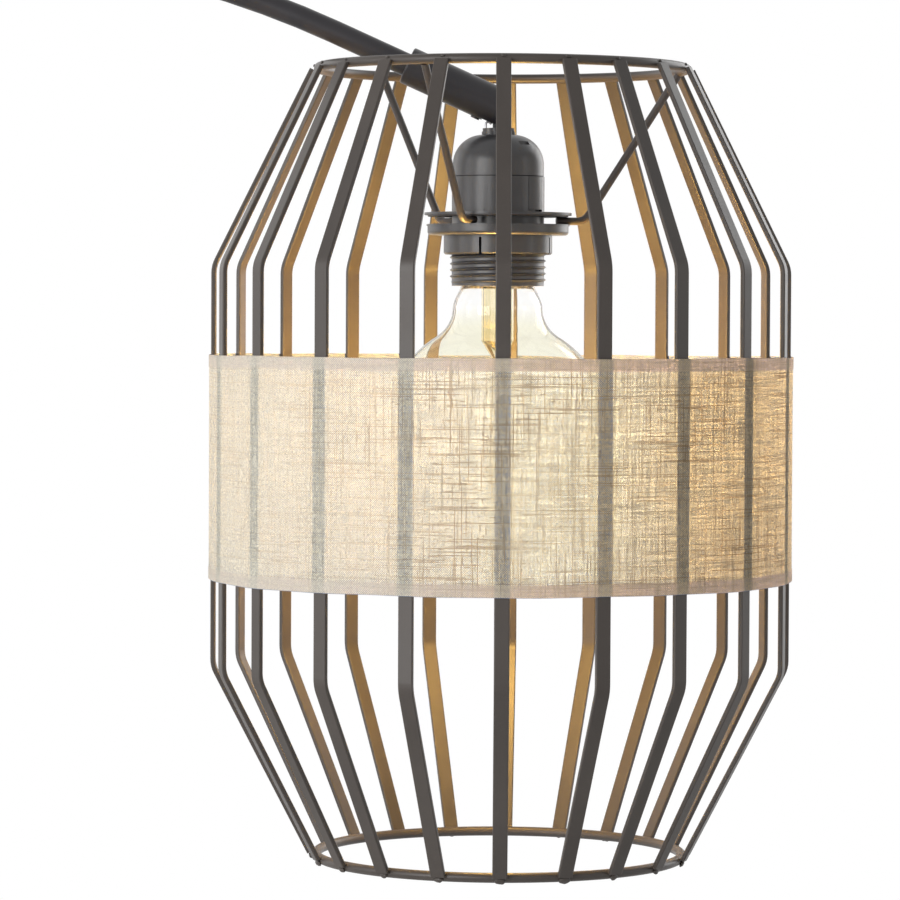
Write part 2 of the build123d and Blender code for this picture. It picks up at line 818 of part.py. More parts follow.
def filament_ends():
    """Upper and lower end of a filament's middle line, in the plane of its own angle."""
    upper = Vector(filament_upper_radius, globe_centre + filament_rise)
    lower = Vector(filament_lower_radius, globe_centre - filament_drop)
    return upper, lower


def bulb_filaments():
    """Glowing sticks set in a cone round the glass rod, as one group."""
    upper, lower = filament_ends()
    stick = rod_between((upper.X, upper.Y), (lower.X, lower.Y), filament_diameter)
    sticks = [facing(number * 360 / filament_count) * stick for number in range(filament_count)]
    return in_shade(Compound(children=[solid for one in sticks for solid in one.solids()]))


def filament_supports():
    """Thin wires from the glass rod to both ends of each filament, as one group."""
    upper, lower = filament_ends()
    along = (lower - upper).normalized()
    tip = along * (filament_diameter / 2)
    inward = Vector(along.Y, -along.X) * (filament_diameter / 2 + 2 * weld_gap)
    wires = []
    for end in (upper + tip + inward, lower - tip + inward):
        wire = rod_between((stem_rod_radius + weld_gap, end.Y), (end.X, end.Y), support_diameter)
        for number in range(filament_count):
            wires += (facing(number * 360 / filament_count) * wire).solids()
    return in_shade(Compound(children=wires))


parts = {
    "base_pad": base_pad(),
    "base_weight": base_weight(),
    "base_cover": base_cover(),
    "base_washer": base_washer(),
    "base_nut": base_nut(),
    "pole_nipple": pole_nipple(),
    "cord_bush": cord_bush(),
    "pole_foot": pole_foot(),
    "pole_lower": pole_tube(foot_top, pole_middle - joiner_band / 2),
    "pole_joiner": pole_joiner(),
    "pole_upper": pole_tube(pole_middle + joiner_band / 2, pole_top),
    "arm_collar": arm_collar(),
    "collar_screw": collar_screw(),
    "arc_arm": arc_arm(),
    "end_sleeve": end_sleeve(),
    "flex_clamp_screw": flex_clamp_screw(),
    "holder_flex": holder_flex(),
    "hanger_wire": hanger_wire(),
    "cord_grip": cord_grip(),
    "holder_cap": holder_cap(),
    "holder_body": holder_body(),
    "socket_insulator": socket_insulator(),
    "terminal_screws": terminal_screws(),
    "socket_shell": socket_shell(),
    "centre_contact": centre_contact(),
    "shade_ring_nut": ring_nut(),
    "top_ring": cage_ring(0),
    "bottom_ring": cage_ring(-ring_spacing),
    "spider_hub": spider_hub(),
    "fabric_band": fabric_band(),
    "bulb_glass": bulb_glass(),
    "bulb_cap": bulb_cap(),
    "bulb_insulator": bulb_insulator(),
    "bulb_tip": bulb_tip(),
    "bulb_stem": bulb_stem(),
    "bulb_filaments": bulb_filaments(),
    "filament_supports": filament_supports(),
}
for number, angle in enumerate(spider_angles, start=1):
    parts[f"spider_wire_{number}"] = spider_wire_arm(angle)
for number, angle in enumerate(rib_angles, start=1):
    parts[f"rib_{number:02d}"] = rib(angle)

os.makedirs("parts", exist_ok=True)
for name, solid in parts.items():
    export_step(solid, f"parts/{name}.step")
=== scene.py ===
import logging
import math
from dataclasses import dataclass
from enum import Enum
from typing import Sequence

import bmesh
import bpy
from mathutils import Matrix, Vector


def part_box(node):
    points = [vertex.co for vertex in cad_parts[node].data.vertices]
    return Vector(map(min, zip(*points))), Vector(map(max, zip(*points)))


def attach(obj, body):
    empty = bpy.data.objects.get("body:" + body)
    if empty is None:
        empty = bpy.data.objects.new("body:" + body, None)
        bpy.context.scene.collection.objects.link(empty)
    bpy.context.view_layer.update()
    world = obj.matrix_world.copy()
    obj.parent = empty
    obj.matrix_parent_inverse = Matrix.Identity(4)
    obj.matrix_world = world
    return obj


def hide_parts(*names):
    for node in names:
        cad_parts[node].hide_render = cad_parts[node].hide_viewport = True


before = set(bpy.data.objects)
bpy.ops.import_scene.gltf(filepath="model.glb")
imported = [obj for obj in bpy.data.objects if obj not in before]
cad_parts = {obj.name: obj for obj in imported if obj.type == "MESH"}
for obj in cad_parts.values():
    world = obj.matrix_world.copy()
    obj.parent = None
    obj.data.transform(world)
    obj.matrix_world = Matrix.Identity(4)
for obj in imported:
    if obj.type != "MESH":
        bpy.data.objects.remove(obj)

LOG = logging.getLogger("floor_lamp")
MM = 0.001
SAME_PLACE = 0.001 * MM

Colour = tuple[float, float, float]


def opaque(colour: Colour) -> tuple[float, float, float, float]:
    """Give a colour its fourth value."""
    return (*colour, 1.0)


class Value:
    """A number that comes out of a node. Arithmetic on it adds Math nodes."""

    def __init__(self, graph: "Graph", socket: bpy.types.NodeSocket) -> None:
        """Keep the socket and the graph that new nodes go to."""
        self.graph = graph
        self.socket = socket

    def math(
        self, operation: str, *others: "Value | float", first: "Value | float | None" = None
    ) -> "Value":
        """Add one Math node.

        Args:
            operation: The name of the node's operation.
            others: What follows the first operand.
            first: The first operand, where it isn't this value.

        Returns:
            The result of the node.
        """
        operands = [self if first is None else first, *others]
        return self.graph.number("ShaderNodeMath", {"operation": operation}, dict(enumerate(operands)))

    def __add__(self, other: "Value | float") -> "Value":
        """Add."""
        return self.math("ADD", other)

    __radd__ = __add__

    def __sub__(self, other: "Value | float") -> "Value":
        """Subtract."""
        return self.math("SUBTRACT", other)

    def __rsub__(self, other: "Value | float") -> "Value":
        """Subtract this from a number."""
        return self.math("SUBTRACT", self, first=other)

    def __mul__(self, other: "Value | float") -> "Value":
        """Multiply."""
        return self.math("MULTIPLY", other)

    __rmul__ = __mul__

    def __truediv__(self, other: "Value | float") -> "Value":
        """Divide."""
        return self.math("DIVIDE", other)

    def __rtruediv__(self, other: "Value | float") -> "Value":
        """Divide a number by this."""
        return self.math("DIVIDE", self, first=other)

    def __pow__(self, power: float) -> "Value":
        """Raise to a power."""
        return self.math("POWER", power)

    def __abs__(self) -> "Value":
        """Drop the sign."""
        return self.math("ABSOLUTE")

    def sine(self) -> "Value":
        """Take the sine."""
        return self.math("SINE")

    def cosine(self) -> "Value":
        """Take the cosine."""
        return self.math("COSINE")

    def floor(self) -> "Value":
        """Round down."""
        return self.math("FLOOR")

    def least(self, other: "Value | float") -> "Value":
        """Take the smaller of two."""
        return self.math("MINIMUM", other)

    def most(self, other: "Value | float") -> "Value":
        """Take the larger of two."""
        return self.math("MAXIMUM", other)

    def ramp(self, low: float, high: float, start: float = 0.0, end: float = 1.0) -> "Value":
        """Go smoothly from one value to another while this goes from low to high.

        Args:
            low: Where the change starts.
            high: Where it ends.
            start: The result below low.
            end: The result above high.

        Returns:
            The eased value.
        """
        return self.graph.number(
            "ShaderNodeMapRange",
            {"interpolation_type": "SMOOTHSTEP"},
            {"Value": self, "From Min": low, "From Max": high, "To Min": start, "To Max": end},
        )


class Graph:
    """A node tree that is being built, of a material, a world or Geometry Nodes."""

    def __init__(self, tree: bpy.types.NodeTree) -> None:
        """Start from an empty tree."""
        self.tree = tree
        tree.nodes.clear()

    def node(
        self,
        kind: str,
        settings: dict[str, object] | None = None,
        inputs: dict[int | str, object] | None = None,
    ) -> bpy.types.Node:
        """Add a node.

        Args:
            kind: The node's type.
            settings: Its properties, such as a Math node's operation, which are set first.
            inputs: What each socket gets, by name or index: a Value, a socket, a node or a constant.

        Returns:
            The node.
        """
        made = self.tree.nodes.new(kind)
        for key, setting in (settings or {}).items():
            setattr(made, key, setting)
        for key, given in (inputs or {}).items():
            socket = made.inputs[key]
            if isinstance(given, Value):
                self.tree.links.new(given.socket, socket)
            elif isinstance(given, bpy.types.NodeSocket):
                self.tree.links.new(given, socket)
            elif isinstance(given, bpy.types.Node):
                self.tree.links.new(given.outputs[0], socket)
            else:
                socket.default_value = given
        return made

    def number(
        self,
        kind: str,
        settings: dict[str, object] | None = None,
        inputs: dict[int | str, object] | None = None,
        output: int | str = 0,
    ) -> Value:
        """Add a node and take a number from it.

        Args:
            kind: The node's type.
            settings: As for node.
            inputs: As for node.
            output: Which of its outputs is the number.

        Returns:
            The output as a value.
        """
        return Value(self, self.node(kind, settings, inputs).outputs[output])

    def parts(self, vector: object) -> tuple[Value, Value, Value]:
        """Split a vector into its three numbers."""
        split = self.node("ShaderNodeSeparateXYZ", None, {0: vector})
        return Value(self, split.outputs[0]), Value(self, split.outputs[1]), Value(self, split.outputs[2])

    def vector(self, x: object, y: object, z: object = 0.0) -> bpy.types.NodeSocket:
        """Join three numbers into a vector."""
        return self.node("ShaderNodeCombineXYZ", None, {0: x, 1: y, 2: z}).outputs[0]

    def noise(self, place: object, scale: float, detail: float = 2.0, rough: float = 0.5) -> Value:
        """Add cloudy noise.

        Args:
            place: The vector that it is read at.
            scale: Its clouds in a metre.
            detail: Its octaves.
            rough: How strong the finer octaves are.

        Returns:
            A value about one half.
        """
        return self.number(
            "ShaderNodeTexNoise",
            None,
            {"Vector": place, "Scale": scale, "Detail": detail, "Roughness": rough},
        )

    def blend(
        self, amount: "Value | float", low: object, high: object, how: str = "MIX"
    ) -> bpy.types.NodeSocket:
        """Mix two colours.

        Args:
            amount: 0 for the first colour and 1 for the second.
            low: The first colour.
            high: The second colour.
            how: The way they are mixed.

        Returns:
            The mixed colour.
        """
        settings = {"data_type": "RGBA", "blend_type": how}
        mix = self.node("ShaderNodeMix", settings, {0: amount, 6: low, 7: high})
        return mix.outputs[2]

    def cross(self, amount: object, low: object, high: object) -> bpy.types.NodeSocket:
        """Mix two shaders.

        Args:
            amount: 0 for the first shader and 1 for the second.
            low: The first shader.
            high: The second shader.

        Returns:
            The mixed shader.
        """
        return self.node("ShaderNodeMixShader", None, {0: amount, 1: low, 2: high}).outputs[0]

    def bump(self, height: Value, depth: float) -> bpy.types.NodeSocket:
        """Turn a height from 0 to 1 into a normal.

        Args:
            height: The height.
            depth: What a height of 1 is, in metres.

        Returns:
            The normal.
        """
        inputs = {"Strength": 1.0, "Distance": depth, "Height": height}
        return self.node("ShaderNodeBump", None, inputs).outputs[0]


class Dress:
    """A material that is being built: its graph and what ends it."""

    def __init__(self, name: str) -> None:
        """Make an empty material.

        Args:
            name: The material's name.
        """
        self.material = bpy.data.materials.new(name)
        self.material.use_nodes = True
        self.graph = Graph(self.material.node_tree)

    def place(self) -> bpy.types.NodeSocket:
        """Give the object coordinates."""
        return self.graph.node("ShaderNodeTexCoord").outputs["Object"]

    def cloth_place(self) -> bpy.types.NodeSocket:
        """Give the coordinates that follow the cloth."""
        return self.graph.node("ShaderNodeTexCoord").outputs["UV"]

    def principled(self, inputs: dict[int | str, object]) -> bpy.types.NodeSocket:
        """Add the main shader."""
        return self.graph.node("ShaderNodeBsdfPrincipled", None, inputs).outputs[0]

    def clear(self) -> bpy.types.NodeSocket:
        """Add the shader that lets everything straight through."""
        return self.graph.node("ShaderNodeBsdfTransparent").outputs[0]

    def lit_through(self, colour: Colour) -> bpy.types.NodeSocket:
        """Add the shader of light that comes through cloth in one colour."""
        return self.graph.node("ShaderNodeBsdfTranslucent", None, {"Color": opaque(colour)}).outputs[0]

    def end(self, shader: bpy.types.NodeSocket) -> bpy.types.Material:
        """Link the shader to the output.

        Args:
            shader: The finished shader.

        Returns:
            The material.
        """
        self.graph.node("ShaderNodeOutputMaterial", None, {"Surface": shader})
        return self.material


@dataclass(frozen=True)
class Paint:
    """Satin spray paint on steel, with a fine orange peel."""

    name: str
    colour: Colour
    worn: Colour
    roughness: float = 0.42
    specular: float = 0.4
    peel: float = 0.00002

    def material(self) -> bpy.types.Material:
        """Make the paint.

        Returns:
            The material.
        """
        dress = Dress(self.name)
        graph = dress.graph
        place = dress.place()
        cloud = graph.noise(place, 24.0, 3.0).ramp(0.38, 0.68)
        grain = graph.noise(place, 1300.0, 2.0)
        peel = graph.noise(place, 620.0, 1.0)
        dust = graph.noise(place, 2600.0, 0.0).ramp(0.66, 0.76)
        colour = graph.blend(cloud * 0.55 + dust * 0.3, opaque(self.colour), opaque(self.worn))
        return dress.end(
            dress.principled(
                {
                    "Base Color": colour,
                    "Roughness": self.roughness + (cloud - 0.5) * 0.07 + (grain - 0.5) * 0.1,
                    "Specular IOR Level": self.specular,
                    "Normal": graph.bump(peel * 0.7 + grain * 0.3, self.peel),
                }
            )
        )


@dataclass(frozen=True)
class Plastic:
    """Moulded plastic with a spark-eroded surface."""

    name: str
    colour: Colour
    sheen: Colour
    roughness: float = 0.36
    texture: float = 0.00003

    def material(self) -> bpy.types.Material:
        """Make the plastic.

        Returns:
            The material.
        """
        dress = Dress(self.name)
        graph = dress.graph
        place = dress.place()
        grain = graph.noise(place, 2100.0, 2.0, 0.6)
        cloud = graph.noise(place, 70.0, 2.0).ramp(0.35, 0.7)
        colour = graph.blend(cloud * 0.6, opaque(self.colour), opaque(self.sheen))
        return dress.end(
            dress.principled(
                {
                    "Base Color": colour,
                    "Roughness": self.roughness + (grain - 0.5) * 0.16,
                    "Specular IOR Level": 0.5,
                    "Normal": graph.bump(grain, self.texture),
                }
            )
        )


@dataclass(frozen=True)
class Metal:
    """Bare or plated metal with fine marks from its making."""

    name: str
    colour: Colour
    dull: Colour
    roughness: float
    grain: float
    pits: float = 0.00001

    def material(self) -> bpy.types.Material:
        """Make the metal.

        Returns:
            The material.
        """
        dress = Dress(self.name)
        graph = dress.graph
        place = dress.place()
        cloud = graph.noise(place, self.grain, 4.0, 0.6).ramp(0.35, 0.7)
        fine = graph.noise(place, self.grain * 9.0, 2.0)
        return dress.end(
            dress.principled(
                {
                    "Base Color": graph.blend(cloud, opaque(self.colour), opaque(self.dull)),
                    "Metallic": 1.0,
                    "Roughness": self.roughness + cloud * 0.12 + (fine - 0.5) * 0.08,
                    "Normal": graph.bump(fine, self.pits),
                }
            )
        )


@dataclass(frozen=True)
class Rough:
    """A dull surface such as felt, rubber, ceramic or cast iron."""

    name: str
    colour: Colour
    fleck: Colour
    roughness: float
    grain: float
    depth: float
    metallic: float = 0.0
    specular: float = 0.4

    def material(self) -> bpy.types.Material:
        """Make the surface.

        Returns:
            The material.
        """
        dress = Dress(self.name)
        graph = dress.graph
        place = dress.place()
        grain = graph.noise(place, self.grain, 5.0, 0.65)
        cloud = graph.noise(place, self.grain * 0.08, 2.0)
        mixed = (grain * 0.7 + cloud * 0.3).ramp(0.38, 0.64)
        return dress.end(
            dress.principled(
                {
                    "Base Color": graph.blend(mixed, opaque(self.colour), opaque(self.fleck)),
                    "Metallic": self.metallic,
                    "Roughness": self.roughness + (grain - 0.5) * 0.12,
                    "Specular IOR Level": self.specular,
                    "Normal": graph.bump(grain, self.depth),
                }
            )
        )


@dataclass(frozen=True)
class Glass:
    """Clear thin glass, with painted shade where it is seen edge-on, that lets the bulb's light out."""

    name: str
    neck: Colour
    # Painted glow: the warmer tint below the change height.
    globe: Colour
    # Painted shade: the colour where the glass is seen edge-on.
    edge: Colour
    change_at: float
    edge_from: float = 0.80
    edge_to: float = 0.98
    gloss: float = 0.35
    gloss_roughness: float = 0.03
    refraction: float = 1.04
    fade_below: float = 9.0 * MM
    fade_above: float = 4.0 * MM

    def material(self) -> bpy.types.Material:
        """Make the glass, which changes colour at a height; the warmer tint below that height is painted
        glow of the bulb.

        Returns:
            The material.
        """
        dress = Dress(self.name)
        graph = dress.graph
        height = graph.parts(dress.place())[2]
        low, high = self.change_at - self.fade_below, self.change_at + self.fade_above
        facing = graph.number("ShaderNodeLayerWeight", None, {"Blend": 0.5}, "Facing")
        # Painted shade: the glass is coloured darker where it is seen edge-on.
        painted_rim_shade = facing.ramp(self.edge_from, self.edge_to)
        plain = graph.blend(height.ramp(low, high, 1.0, 0.0), opaque(self.neck), opaque(self.globe))
        glass = dress.principled(
            {
                "Base Color": graph.blend(painted_rim_shade, plain, opaque(self.edge)),
                "Roughness": 0.0,
                "IOR": self.refraction,
                "Transmission Weight": 1.0,
                "Coat Weight": self.gloss,
                "Coat Roughness": self.gloss_roughness,
            }
        )
        shadow = graph.node("ShaderNodeLightPath").outputs["Is Shadow Ray"]
        return dress.end(graph.cross(shadow, glass, dress.clear()))


@dataclass(frozen=True)
class Glow:
    """The coating of a lit filament."""

    name: str
    colour: Colour
    strength: float

    def material(self) -> bpy.types.Material:
        """Make the glowing coating, in brighter and dimmer beads.

        Returns:
            The material.
        """
        dress = Dress(self.name)
        graph = dress.graph
        beads = graph.noise(dress.place(), 900.0, 1.0).ramp(0.3, 0.7)
        dim = tuple(0.75 * part for part in self.colour)
        return dress.end(
            dress.principled(
                {
                    "Base Color": opaque(self.colour),
                    "Roughness": 0.5,
                    "Emission Color": graph.blend(beads, opaque(dim), opaque(self.colour)),
                    "Emission Strength": self.strength,
                }
            )
        )


@dataclass(frozen=True)
class Linen:
    """Natural linen that some of the bulb's light comes through.

    Its light changes from the band's left side to its right. Its colour is painted warmer and darker
    towards the right as painted light, and its inside face is painted darker and bluer as painted shade.
    """

    name: str
    thread: float
    hem_from: float
    radius: float
    let_through: float
    pale: Colour = (0.93, 0.89, 0.765)
    deep: Colour = (0.26, 0.245, 0.195)
    slub: Colour = (0.26, 0.165, 0.09)
    hem: Colour = (0.60, 0.555, 0.485)
    # Painted light: multiplies the cloth's colour warmer and darker towards the band's right side.
    painted_right_warmth: Colour = (1.0, 0.87, 0.71)
    # Painted shade: multiplies the inside face's colour darker and bluer, against the bulb's light on it.
    inside: Colour = (0.40, 0.52, 0.80)
    left_light: Colour = (0.47, 0.545, 0.86)
    light: Colour = (0.42, 0.58, 1.0)
    warm_light: Colour = (0.42, 0.435, 0.51)
    hem_light: Colour = (0.47, 0.46, 0.84)
    slub_light: Colour = (0.85, 0.60, 0.40)
    fat_scale: float = 45.0
    fine_scale: float = 1350.0
    long_slub_scale: float = 24.0
    short_slub_scale: float = 170.0
    patch_scale: float = 26.0
    cloud_scale: float = 60.0
    slub_stain: float = 0.85
    hem_tint: float = 0.55
    hem_blur: float = 0.3 * MM
    inside_from: float = 3.0
    inside_blur: float = 0.01
    relief: float = 0.12 * MM
    least_gap: float = 0.1
    slub_stop: float = 0.74
    hem_stop: float = 0.58
    most_through: float = 0.9

    def threads(self, graph: Graph, run: Value, across: Value, seed: float) -> tuple[Value, Value, Value]:
        """Work out one direction's threads.

        Args:
            graph: The graph.
            run: The way along the threads, in metres.
            across: The way across them, in metres.
            seed: Keeps the two directions apart.

        Returns:
            How thick the thread is here and its fine unevenness, both about 0, and how much of a dark
            slub it is, from 0 to 1.
        """
        index = (across / self.thread).floor()
        fat = graph.noise(graph.vector(run, index * 7.13, seed), self.fat_scale, 3.0, 0.55) - 0.5
        fine = graph.noise(graph.vector(run, index * 5.37, seed + 3.0), self.fine_scale, 0.0) - 0.5
        thin = (across * (math.pi / self.thread)).sine() ** 2.0
        long_place = graph.vector(run, index * 2.91, seed + 9.0)
        long_slub = graph.noise(long_place, self.long_slub_scale, 1.0).ramp(0.565, 0.635)
        short_place = graph.vector(run, index * 3.71, seed + 5.0)
        short_slub = graph.noise(short_place, self.short_slub_scale, 1.0).ramp(0.62, 0.72)
        return fat, fine, long_slub.most(short_slub) * (0.25 + thin * 0.75)

    def glow(self, dress: Dress, side: Value, brown: Colour) -> bpy.types.NodeSocket:
        """Make the light that comes through, which changes round the band.

        Args:
            dress: The cloth's material.
            side: How far right a place is, from -1 to 1.
            brown: What each colour is multiplied by.

        Returns:
            The shader.
        """
        left, middle, right = (
            dress.lit_through(tuple(part * share for part, share in zip(colour, brown)))
            for colour in (self.left_light, self.light, self.warm_light)
        )
        return dress.graph.cross(
            side.ramp(0.2, 0.75), dress.graph.cross(side.ramp(-0.5, 0.1), left, middle), right
        )

    def material(self) -> bpy.types.Material:
        """Make the cloth.

        Returns:
            The material.
        """
        dress = Dress(self.name)
        graph = dress.graph
        round_it, up, _ = graph.parts(dress.cloth_place())
        turn = math.pi / self.thread
        weft_fat, weft_fine, weft_slub = self.threads(graph, round_it, up, 1.7)
        warp_fat, warp_fine, warp_slub = self.threads(graph, up, round_it, 31.3)
        weave = (round_it * turn).sine() * (up * turn).sine()
        flat = graph.vector(round_it, up, 3.0)
        patch = graph.noise(flat, self.patch_scale, 2.0).ramp(0.40, 0.62)
        cloud = graph.noise(flat, self.cloud_scale, 3.0) - 0.5
        side = (round_it / self.radius).sine()
        # The slubs are weakened towards the left, where the cloth is lit from outside rather than through:
        # painted light on real slubs.
        slub = weft_slub.most(warp_slub) * (0.5 + patch * 0.4) * side.ramp(-0.9, 0.0, 0.4, 1.0)
        fat = weft_fat + warp_fat
        fine = weft_fine + warp_fine
        tone = 0.5 + fat * 0.9 + fine * 1.8 + cloud * 0.2 + weave * 1.6
        plain = graph.blend(tone.least(1.0).most(0.0), opaque(self.deep), opaque(self.pale))
        colour = graph.blend(slub * self.slub_stain, plain, opaque(self.slub))
        hem = abs(up).ramp(self.hem_from - self.hem_blur, self.hem_from + self.hem_blur)
        hemmed = graph.blend(hem * self.hem_tint, colour, opaque(self.hem))
        # Painted light: the outside is made warmer and darker towards the right, where the bulb's warm
        # light comes through.
        outside = graph.blend(side.ramp(-0.5, 0.5), hemmed, opaque(self.painted_right_warmth), "MULTIPLY")
        # Painted shade: the inside face, told apart by its shifted coordinates, is made darker and bluer.
        painted_inside_shade = round_it.ramp(self.inside_from - self.inside_blur, self.inside_from + self.inside_blur)
        colour_with_painted_light = graph.blend(painted_inside_shade, outside, graph.blend(1.0, hemmed, opaque(self.inside), "MULTIPLY"))
        surface = dress.principled(
            {
                "Base Color": colour_with_painted_light,
                "Roughness": 0.92,
                "Specular IOR Level": 0.15,
                "Normal": graph.bump(fine * 0.5 + fat * 0.6 + slub * 0.4, self.relief),
            }
        )
        clean = self.glow(dress, side, (1.0, 1.0, 1.0))
        single = graph.cross(slub, clean, self.glow(dress, side, self.slub_light))
        shine = graph.cross(hem, single, dress.lit_through(self.hem_light))
        share = side.ramp(-1.0, 0.15, 0.5, 1.0)
        open_weave = (1.0 - fat * 3.6 - fine * 1.3 - cloud * 0.3 - weave * 0.6).most(self.least_gap)
        gap = open_weave * (1.0 - slub * self.slub_stop)
        through = (gap * share * self.let_through * (1.0 - hem * self.hem_stop)).least(self.most_through)
        back = graph.node("ShaderNodeNewGeometry").outputs["Backfacing"]
        return dress.end(graph.cross(back, graph.cross(through, surface, shine), dress.clear()))


class Finish(Enum):
    """The finishes of the lamp, by the material slot that each stands for."""

    STAND_PAINT = Paint("stand_paint", (0.018, 0.017, 0.018), (0.032, 0.030, 0.031), 0.36)
    ARM_PAINT = Paint("arm_paint", (0.018, 0.016, 0.019), (0.032, 0.029, 0.033), 0.34)
    CAGE_PAINT = Paint("cage_paint", (0.060, 0.050, 0.044), (0.084, 0.071, 0.063), 0.42, 0.36)
    SPIDER_PAINT = Paint("spider_paint", (0.060, 0.050, 0.046), (0.084, 0.072, 0.066), 0.42, 0.36)
    CAST_IRON = Rough("cast_iron", (0.045, 0.043, 0.042), (0.10, 0.095, 0.09), 0.72, 380.0, 0.0003, 0.6)
    FELT = Rough("felt", (0.020, 0.020, 0.022), (0.055, 0.055, 0.058), 0.95, 900.0, 0.0004)
    ZINC_STEEL = Metal("zinc_steel", (0.62, 0.62, 0.64), (0.45, 0.46, 0.49), 0.30, 160.0)
    BLACK_STEEL = Metal("black_steel", (0.075, 0.07, 0.07), (0.035, 0.033, 0.033), 0.36, 300.0)
    CORD_RUBBER = Rough("cord_rubber", (0.018, 0.018, 0.019), (0.035, 0.035, 0.037), 0.62, 700.0, 0.00006)
    BARE_WIRE = Metal("bare_wire", (0.42, 0.42, 0.44), (0.28, 0.28, 0.30), 0.32, 500.0)
    HOLDER_PLASTIC = Plastic("holder_plastic", (0.044, 0.043, 0.046), (0.062, 0.060, 0.063), 0.31)
    SOCKET_CERAMIC = Rough("socket_ceramic", (0.62, 0.60, 0.56), (0.80, 0.78, 0.74), 0.35, 420.0, 0.00005)
    SOCKET_BRASS = Metal("socket_brass", (0.72, 0.52, 0.22), (0.52, 0.37, 0.16), 0.28, 240.0)
    CAP_METAL = Metal("cap_metal", (0.74, 0.74, 0.75), (0.58, 0.58, 0.60), 0.24, 260.0)
    CAP_INSULATOR = Rough("cap_insulator", (0.012, 0.012, 0.014), (0.03, 0.03, 0.035), 0.18, 500.0, 0.00003)
    FILAMENT = Glow("filament", (1.0, 0.66, 0.30), 9.0)
    SUPPORT_WIRE = Metal("support_wire", (0.55, 0.54, 0.53), (0.40, 0.39, 0.38), 0.28, 600.0)

    def material(self) -> bpy.types.Material:
        """Give this finish's material, which is made once.

        Returns:
            The material.
        """
        made = bpy.data.materials.get(f"{self.value.name}_finish")
        if made is None:
            made = self.value.material()
            made.name = f"{self.value.name}_finish"
        return made


def cover(node: str, material: bpy.types.Material) -> None:
    """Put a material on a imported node.

    Args:
        node: The node's name.
        material: What its slots get.
    """
    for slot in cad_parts[node].material_slots:
        slot.material = material


def fit(piece: bpy.types.Object, body: str, slot: str, *nodes: str) -> bpy.types.Object:
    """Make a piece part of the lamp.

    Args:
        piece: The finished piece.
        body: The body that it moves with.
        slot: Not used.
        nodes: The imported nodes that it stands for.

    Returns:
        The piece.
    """
    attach(piece, body)
    if nodes:
        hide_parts(*nodes)
    LOG.info("%s rides on %s", piece.name, body)
    return piece


def shown(name: str, mesh: bpy.types.Mesh, material: bpy.types.Material) -> bpy.types.Object:
    """Put a mesh in the scene with one material, smooth.

    Args:
        name: The piece's name.
        mesh: Its mesh.
        material: What it is made of.

    Returns:
        The piece.
    """
    mesh.materials.clear()
    mesh.materials.append(material)
    mesh.shade_smooth()
    piece = bpy.data.objects.new(name, mesh)
    bpy.context.scene.collection.objects.link(piece)
    return piece


def outward(mesh: bpy.types.Mesh) -> None:
    """Close a mesh's seams and turn its faces outwards.

    Args:
        mesh: The mesh.
    """
    work = bmesh.new()
    work.from_mesh(mesh)
    bmesh.ops.remove_doubles(work, verts=work.verts, dist=SAME_PLACE)
    bmesh.ops.recalc_face_normals(work, faces=work.faces)
    if work.calc_volume(signed=True) < 0:
        bmesh.ops.reverse_faces(work, faces=work.faces)
    work.to_mesh(mesh)
    work.free()


class Grower:
    """A Geometry Nodes tree with named inputs, and what bakes it to a plain mesh."""

    def __init__(self, name: str) -> None:
        """Make a tree that takes and gives geometry.

        Args:
            name: The name of the piece that it makes.
        """
        self.name = name
        self.tree = bpy.data.node_groups.new(name, "GeometryNodeTree")
        self.graph = Graph(self.tree)
        self.tree.interface.new_socket("Geometry", in_out="INPUT", socket_type="NodeSocketGeometry")
        self.tree.interface.new_socket("Geometry", in_out="OUTPUT", socket_type="NodeSocketGeometry")
        self.given: dict[str, object] = {}
        self.entry: bpy.types.Node | None = None

    def sizes(self, **given: float | Vector) -> dict[str, Value]:
        """Add the named inputs.

        Args:
            given: Each input's name and value, a number or a place.

        Returns:
            Each input as a value.
        """
        for label, size in given.items():
            kind = "NodeSocketVector" if isinstance(size, Vector) else "NodeSocketFloat"
            self.tree.interface.new_socket(label, in_out="INPUT", socket_type=kind)
            self.given[label] = size
        self.entry = self.graph.node("NodeGroupInput")
        return {label: Value(self.graph, self.entry.outputs[label]) for label in given}

    def bake(
        self,
        geometry: bpy.types.NodeSocket,
        material: bpy.types.Material,
        points: Sequence[Vector] = (),
    ) -> bpy.types.Mesh:
        """End the tree, run it once and keep the plain mesh.

        Args:
            geometry: What the tree makes.
            material: What it is made of.
            points: What the tree takes in, as loose points.

        Returns:
            The mesh.
        """
        real = self.graph.node("GeometryNodeRealizeInstances", None, {0: geometry}).outputs[0]
        dressed = self.graph.node("GeometryNodeSetMaterial", None, {"Geometry": real, "Material": material})
        self.graph.node("NodeGroupOutput", None, {0: dressed})
        given = bpy.data.meshes.new(f"{self.name}_host")
        given.from_pydata([tuple(point) for point in points], [], [])
        host = bpy.data.objects.new(f"{self.name}_host", given)
        bpy.context.scene.collection.objects.link(host)
        modifier = host.modifiers.new(self.name, "NODES")
        modifier.node_group = self.tree
        for item in self.tree.interface.items_tree:
            if item.in_out == "INPUT" and item.name in self.given:
                modifier[item.identifier] = self.given[item.name]
        seen = host.evaluated_get(bpy.context.evaluated_depsgraph_get())
        mesh = bpy.data.meshes.new_from_object(seen)
        host.modifiers.remove(modifier)
        bpy.data.objects.remove(host)
        outward(mesh)
        return mesh


